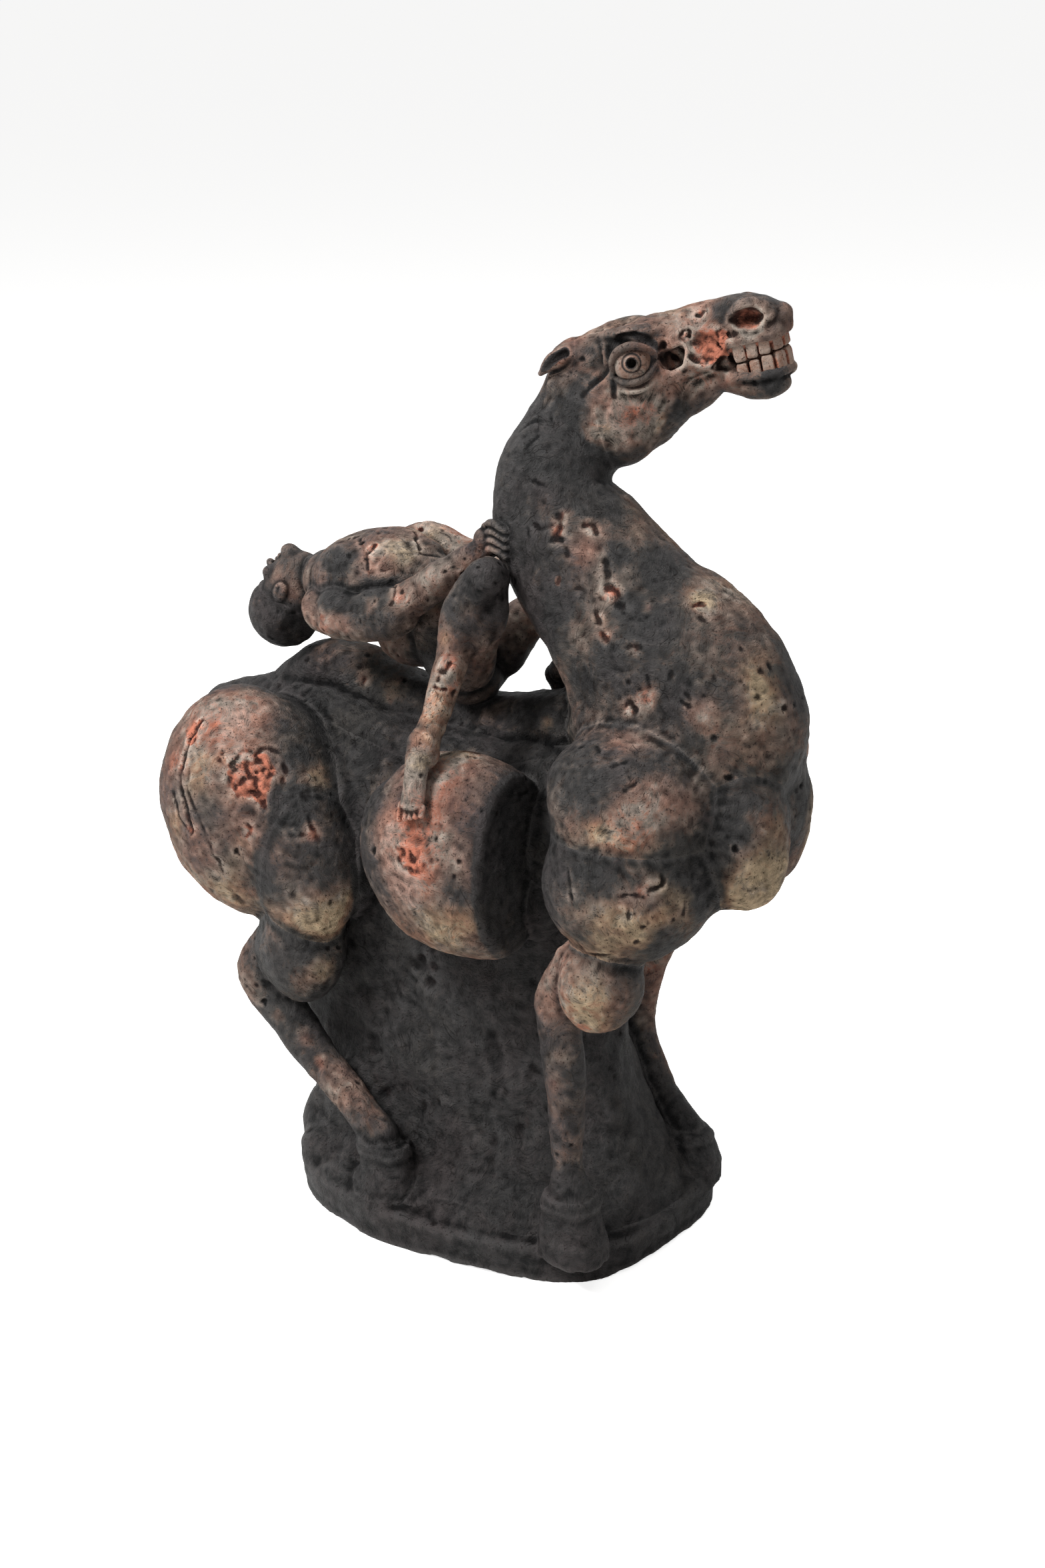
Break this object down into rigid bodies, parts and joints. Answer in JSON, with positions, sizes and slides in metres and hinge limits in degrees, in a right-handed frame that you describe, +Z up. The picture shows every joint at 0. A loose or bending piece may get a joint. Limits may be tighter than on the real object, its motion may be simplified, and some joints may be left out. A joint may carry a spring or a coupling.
{
  "type": "terracotta horse and rider",
  "caption": "Hand-built smoke-fired terracotta horse on a rock base, head raised with bared teeth, a rider arched backward over its back.",
  "frame": {"origin": "middle of the underside of the base slab's own outline, on the surface that the object stands on", "axes": "+X towards the horse's head, +Z up, the horse's right side towards -Y"},
  "size_m": [0.4248, 0.2158, 0.5529],
  "materials": {
    "clay_charcoal": "matte, smoke-blackened",
    "clay_smoke": "matte, smoke-fired dark brown",
    "clay_grey_brown": "matte, smoke-fired grey-brown",
    "clay_rose": "matte, smoke-fired with red clay showing",
    "clay_olive": "matte, smoke-fired with ochre flashes",
    "clay_orange": "matte, bare terracotta",
    "tooth_slip": "matte pale slip"
  },
  "bodies": {
    "root": {"base_slab": "clay_charcoal", "haunch_right": "clay_rose", "haunch_left": "clay_rose", "flank_lobe_right": "clay_rose", "flank_lobe_left": "clay_rose", "shoulder_lobe_right": "clay_rose", "shoulder_lobe_left": "clay_rose", "upper_arm_lobe_right": "clay_olive", "upper_arm_lobe_left": "clay_olive", "breast_lobe_right": "clay_grey_brown", "breast_lobe_left": "clay_grey_brown", "thigh_right": "clay_grey_brown", "thigh_left": "clay_grey_brown", "gaskin_right": "clay_orange", "gaskin_left": "clay_orange", "forearm_right": "clay_olive", "forearm_left": "clay_olive", "hind_hoof_right": "clay_charcoal", "hind_hoof_left": "clay_charcoal", "fore_hoof_right": "clay_charcoal", "fore_hoof_left": "clay_charcoal", "hind_leg_right": "clay_smoke", "hind_leg_left": "clay_smoke", "fore_leg_right": "clay_smoke", "fore_leg_left": "clay_smoke", "eyeball_right": "clay_grey_brown", "eyeball_left": "clay_grey_brown", "eye_rim_right": "clay_smoke", "eye_rim_left": "clay_smoke", "upper_teeth": "tooth_slip", "lower_teeth": "tooth_slip", "ear_right": "clay_smoke", "ear_left": "clay_smoke", "skull": "clay_grey_brown", "lower_jaw": "clay_grey_brown", "rider_head": "clay_smoke", "rider_hair": "clay_charcoal", "rider_hand_right": "clay_smoke", "rider_hand_left": "clay_smoke", "rider_foot_right": "clay_smoke", "rider_foot_left": "clay_smoke", "rider_arm_right": "clay_smoke", "rider_arm_left": "clay_smoke", "rider_leg_right": "clay_smoke", "rider_leg_left": "clay_smoke", "rider_torso": "clay_rose", "rider_waist": "clay_smoke", "rider_neck": "clay_smoke", "neck": "clay_grey_brown", "back_ridge": "clay_grey_brown", "croup": "clay_smoke", "tail": "clay_charcoal", "trunk": "clay_charcoal", "rock_support": "clay_charcoal"}
  },
  "joints": []
}
